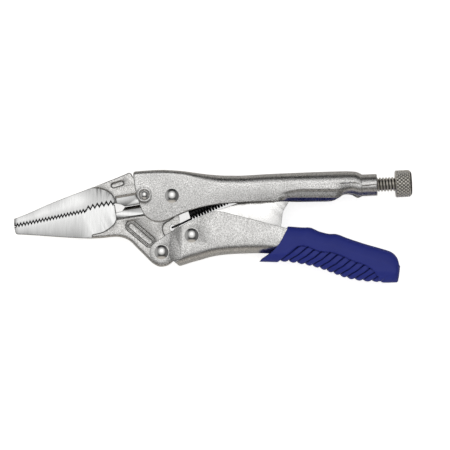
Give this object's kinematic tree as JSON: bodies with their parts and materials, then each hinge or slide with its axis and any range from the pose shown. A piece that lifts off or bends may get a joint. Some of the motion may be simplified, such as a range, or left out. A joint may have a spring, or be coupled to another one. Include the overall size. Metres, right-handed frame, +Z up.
{
  "type": "locking pliers",
  "caption": "Long-nose locking pliers with wire cutter, over-centre toggle, knurled adjusting screw and a ribbed grip sleeve.",
  "frame": {"origin": "middle of the tool's length and height, on the bench it lies on", "axes": "+X along the tool toward the adjusting knob, +Y across it toward the upper handle, +Z up through its thickness"},
  "size_m": [0.165, 0.0469, 0.0184],
  "materials": {
    "handle_steel": "satin nickel plate over pressed steel",
    "jaw_steel": "satin nickel plate, noses ground bright",
    "rivet_steel": "polished domes",
    "screw_steel": "turned, threaded and knurled, nickel plate",
    "spring_black": "black oxide spring wire",
    "grip_blue": "soft moulded vinyl"
  },
  "bodies": {
    "frame": {"upper_handle": "handle_steel", "fixed_jaw": "jaw_steel", "fixed_jaw_pin": "rivet_steel", "main_rivet": "rivet_steel", "return_spring": "spring_black"},
    "jaw": {"movable_jaw": "jaw_steel"},
    "lever": {"lower_handle": "handle_steel", "jaw_rivet": "rivet_steel", "link_rivet": "rivet_steel", "grip_sleeve": "grip_blue"},
    "link": {"toggle_link": "handle_steel"},
    "screw": {"adjusting_screw": "screw_steel"},
    "knob": {"adjusting_knob": "screw_steel"}
  },
  "joints": [
    {"name": "jaw_pivot", "type": "hinge", "parent": "frame", "child": "jaw", "pos_m": [-0.0171, 0.0127, 0.0092], "axis": [0, 0, 1], "range_deg": [0, 26.1], "deforming": ["return_spring"]},
    {"name": "handle_swing", "type": "hinge", "parent": "jaw", "child": "lever", "pos_m": [-0.0214, -0.0106, 0.0092], "axis": [0, 0, -1], "range_deg": [0, 93]},
    {"name": "link_pivot", "type": "hinge", "parent": "lever", "child": "link", "pos_m": [-0.0089, -0.00365, 0.0092], "axis": [0, 0, 1], "range_deg": [0, 96.8]},
    {"name": "screw_travel", "type": "slide", "parent": "frame", "child": "screw", "axis": [0.999, 0.0436, 0], "range_m": [0, 0.01199]},
    {"name": "knob_turn", "type": "hinge", "parent": "screw", "child": "knob", "pos_m": [0.0649, 0.0172, 0.0092], "axis": [0.999, 0.0436, 0], "range_deg": [0, 3400]}
  ],
  "couplings": [
    {"joint": "jaw_pivot", "follows": "handle_swing", "ratio": 0.28},
    {"joint": "link_pivot", "follows": "handle_swing", "ratio": 1.04},
    {"joint": "knob_turn", "follows": "screw_travel", "rad_per_m": 4947.4}
  ]
}
